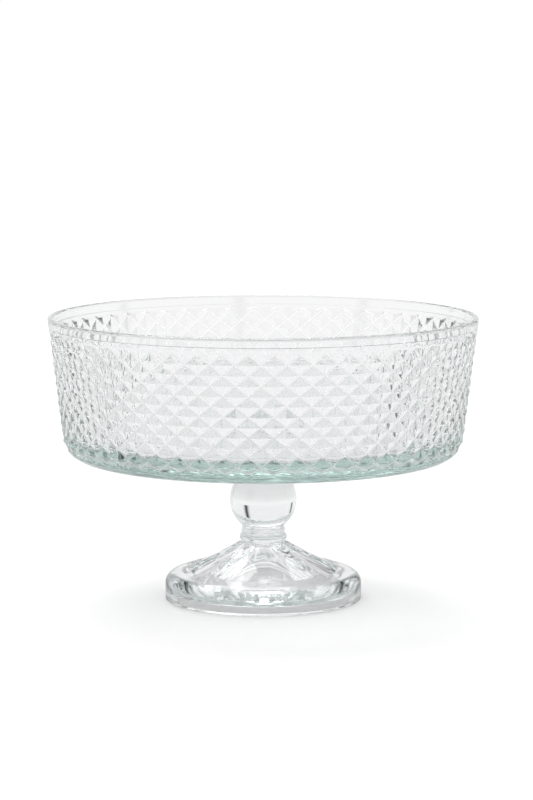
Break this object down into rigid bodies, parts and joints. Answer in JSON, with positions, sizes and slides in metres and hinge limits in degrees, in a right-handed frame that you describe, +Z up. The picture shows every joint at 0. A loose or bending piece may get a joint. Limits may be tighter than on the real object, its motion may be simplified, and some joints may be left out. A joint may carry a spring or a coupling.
{
  "type": "trifle bowl",
  "caption": "Footed glass trifle bowl: straight-sided round bowl with diamond-cut relief, bonded to a pedestal with a ball knop, beaded collar and panelled hollow foot.",
  "frame": {"origin": "centre of the foot's resting ring, on the surface it stands on", "axes": "+Z up along the bowl's axis, -Y towards the viewer"},
  "size_m": [0.23, 0.23, 0.1531],
  "materials": {
    "bowl_glass": "fire-polished, faint green where thick",
    "pedestal_glass": "fire-polished, nearly colourless",
    "clear_adhesive": "clear, glossy"
  },
  "bodies": {
    "root": {"bowl": "bowl_glass", "bond_film": "clear_adhesive", "pedestal": "pedestal_glass"}
  },
  "joints": []
}
